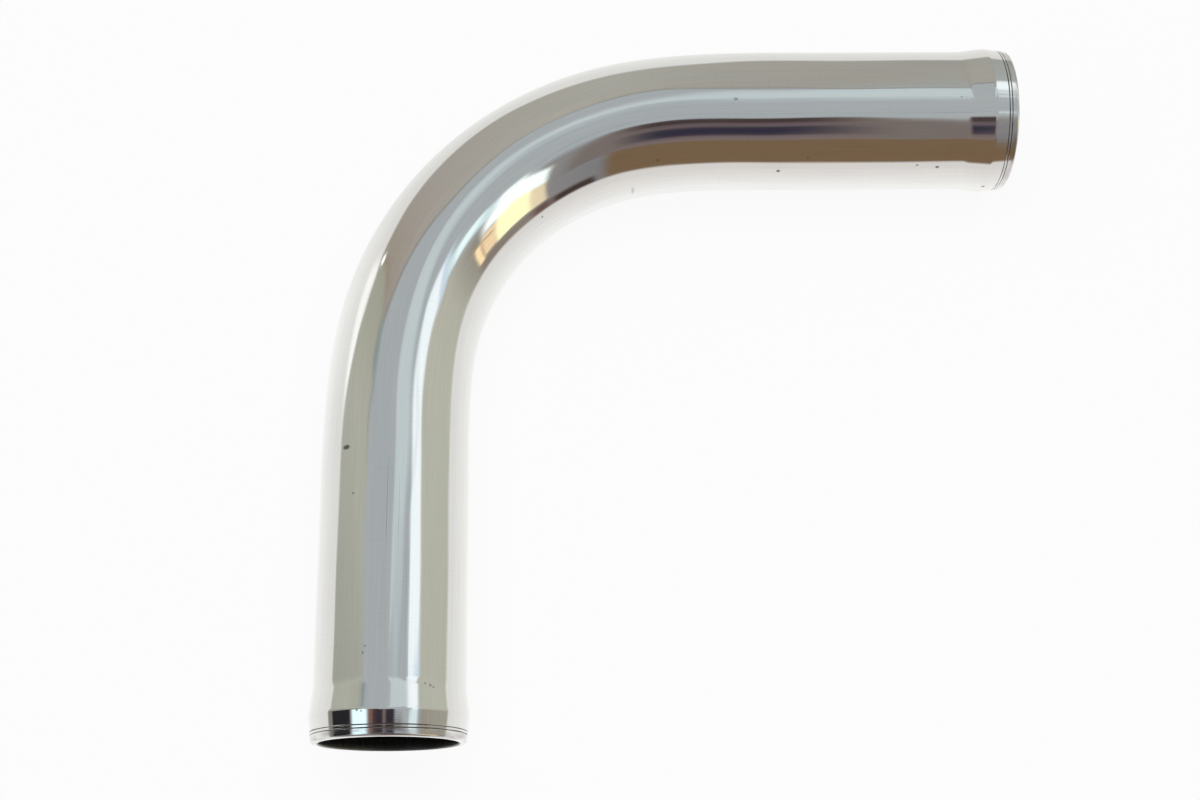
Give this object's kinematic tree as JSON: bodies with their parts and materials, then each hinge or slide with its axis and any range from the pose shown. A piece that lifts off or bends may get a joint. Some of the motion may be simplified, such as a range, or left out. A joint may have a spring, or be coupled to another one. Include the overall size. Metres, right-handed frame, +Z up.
{
  "type": "aluminium pipe bend",
  "caption": "Polished aluminium tube with a smooth right-angle bend and a rolled hose bead near each mouth, for joining hoses in an engine's air duct.",
  "frame": {"origin": "centre of the first mouth, hose_end_a, on the tube's axis", "axes": "+Z is up, square to the plane of the bend, as the bend lies on a table; -Y points out of the first mouth; +X points out of the second mouth, hose_end_b"},
  "size_m": [0.2953, 0.2993, 0.0627],
  "materials": {
    "polished_aluminium": "polished, with fine buffing marks and a few small pits"
  },
  "bodies": {
    "root": {"pipe_bend": "polished_aluminium"}
  },
  "joints": []
}
